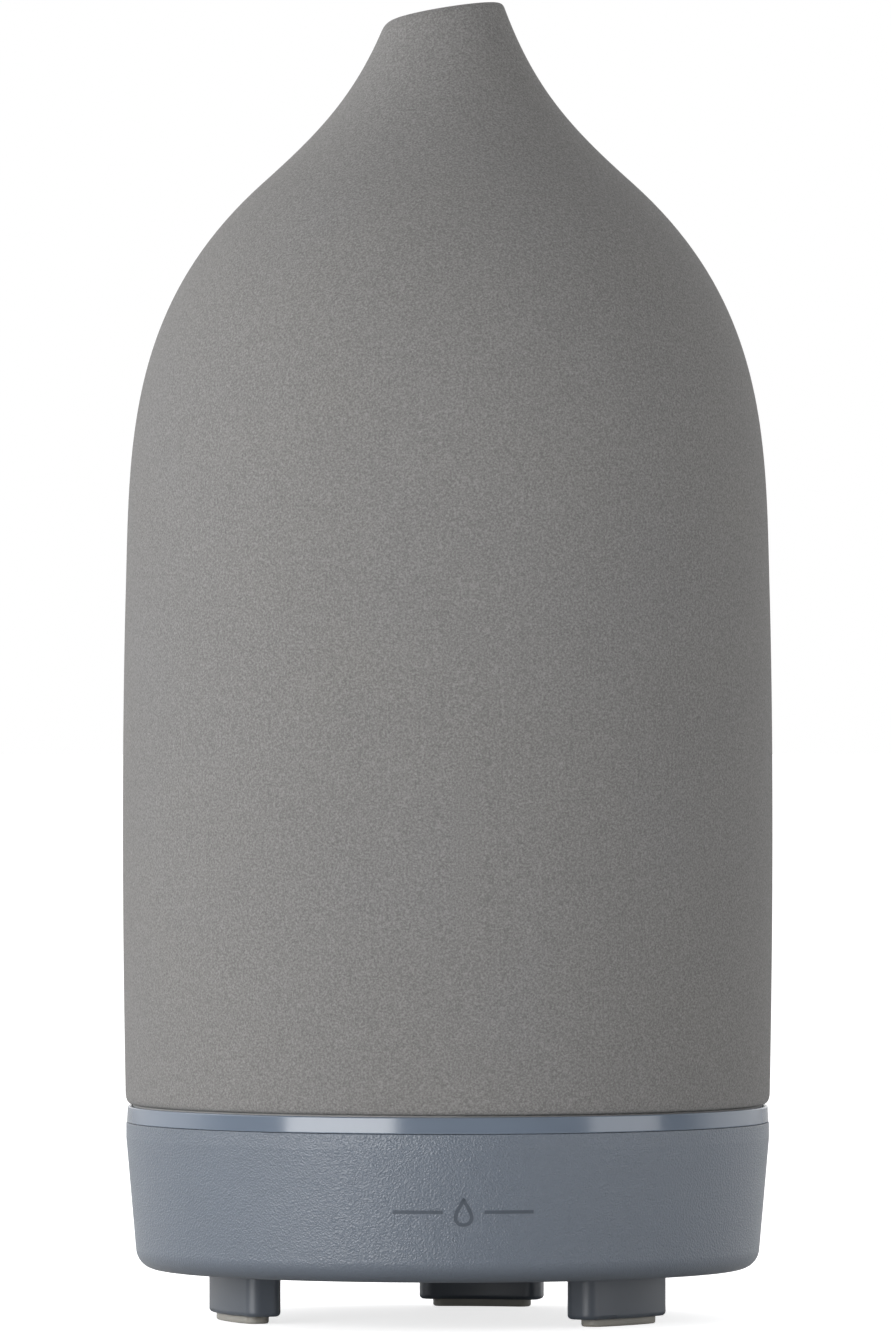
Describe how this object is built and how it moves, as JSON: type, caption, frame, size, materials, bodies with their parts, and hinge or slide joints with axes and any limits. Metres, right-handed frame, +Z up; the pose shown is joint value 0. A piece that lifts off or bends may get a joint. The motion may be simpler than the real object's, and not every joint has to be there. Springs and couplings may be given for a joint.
{
  "type": "essential oil diffuser",
  "caption": "Bottle-shaped stoneware cover with a slanted mouth, lifting off a round plastic base on arc-shaped feet that holds a lidded water bowl, mist transducer and fan.",
  "frame": {"origin": "on the cover's axis, at the surface that the foot pads stand on", "axes": "+Z up along the axis, -Y towards the front, +X to the right, where the mouth is highest"},
  "size_m": [0.0878, 0.0878, 0.1779],
  "materials": {
    "stoneware": "matt unglazed stoneware with a fine sandy grain",
    "base_plastic": "moulded plastic with a fine leather grain",
    "housing_plastic": "polished moulded plastic",
    "lid_plastic": "frosted moulded plastic",
    "silicone": "soft satin silicone",
    "dark_silicone": "soft satin silicone",
    "button_plastic": "satin moulded plastic",
    "screw_steel": "zinc plated",
    "fan_plastic": "satin moulded plastic",
    "duct_plastic": "satin moulded plastic",
    "shaft_steel": "ground",
    "bearing_brass": "plain sintered",
    "magnet": "bonded ferrite, matt",
    "lamination": "stacked laminations",
    "copper": "enamelled copper wire",
    "circuit_board": "green solder mask",
    "white_board": "white solder mask",
    "emitter": "phosphor under clear resin",
    "clear_plastic": "clear moulded plastic",
    "component_black": "moulded epoxy",
    "connector_white": "moulded nylon",
    "capacitor_sleeve": "shrink sleeve without print",
    "ferrite": "sintered ferrite",
    "heat_sink_metal": "extruded",
    "contact_metal": "nickel plated",
    "transducer_ceramic": "fired ceramic with a glassy electrode",
    "retainer_steel": "stamped stainless",
    "wire_sleeve": "PVC sleeve"
  },
  "bodies": {
    "base": {"tank_housing": "housing_plastic", "air_tower": "housing_plastic", "deck_gasket": "dark_silicone", "base_shell": "base_plastic", "foot_pads": "silicone", "base_screws": "screw_steel", "button_board": "circuit_board", "fan_frame": "fan_plastic", "fan_bearing": "bearing_brass", "fan_stator": "lamination", "fan_windings": "copper", "fan_screws": "screw_steel", "air_duct": "duct_plastic", "transducer_disc": "transducer_ceramic", "transducer_seal": "dark_silicone", "transducer_retainer": "retainer_steel", "transducer_screws": "screw_steel", "led_board": "white_board", "light_emitters": "emitter", "light_lenses": "clear_plastic", "led_board_screws": "screw_steel", "main_board": "circuit_board", "capacitors": "capacitor_sleeve", "drive_inductor": "ferrite", "heat_sink": "heat_sink_metal", "power_transistor": "component_black", "control_chip": "component_black", "wire_connectors": "connector_white", "board_screws": "screw_steel", "dc_jack": "component_black", "dc_jack_pin": "contact_metal", "fan_leads": "wire_sleeve", "transducer_leads": "wire_sleeve", "led_leads": "wire_sleeve", "button_leads": "wire_sleeve", "mist_switch": "component_black", "light_switch": "component_black"},
    "seat_ring": {"cover_seat_ring": "dark_silicone"},
    "cover": {"stone_cover": "stoneware"},
    "lid": {"inner_lid": "lid_plastic"},
    "fan_wheel": {"fan_rotor": "fan_plastic", "rotor_magnet": "magnet", "fan_shaft": "shaft_steel"},
    "mist_key": {"mist_button": "button_plastic", "mist_switch_plunger": "connector_white"},
    "light_key": {"light_button": "button_plastic", "light_switch_plunger": "connector_white"}
  },
  "joints": [
    {"name": "cover_turn", "type": "hinge", "parent": "base", "child": "seat_ring", "pos_m": [0, 0, 0.028], "axis": [0, 0, 1], "continuous": true},
    {"name": "cover_lift", "type": "slide", "parent": "seat_ring", "child": "cover", "axis": [0, 0, 1], "range_m": [0, 0.14]},
    {"name": "lid_lift", "type": "slide", "parent": "base", "child": "lid", "axis": [0, 0, 1], "range_m": [0, 0.04]},
    {"name": "fan_spin", "type": "hinge", "parent": "base", "child": "fan_wheel", "pos_m": [0.018, 0.004, 0.0148], "axis": [0, 0, 1], "continuous": true},
    {"name": "mist_button_press", "type": "slide", "parent": "base", "child": "mist_key", "axis": [0, -1, 0], "range_m": [0, 0.0005], "stiffness_N_per_m": 1500},
    {"name": "light_button_press", "type": "slide", "parent": "base", "child": "light_key", "axis": [0, -1, 0], "range_m": [0, 0.0005], "stiffness_N_per_m": 1500}
  ]
}
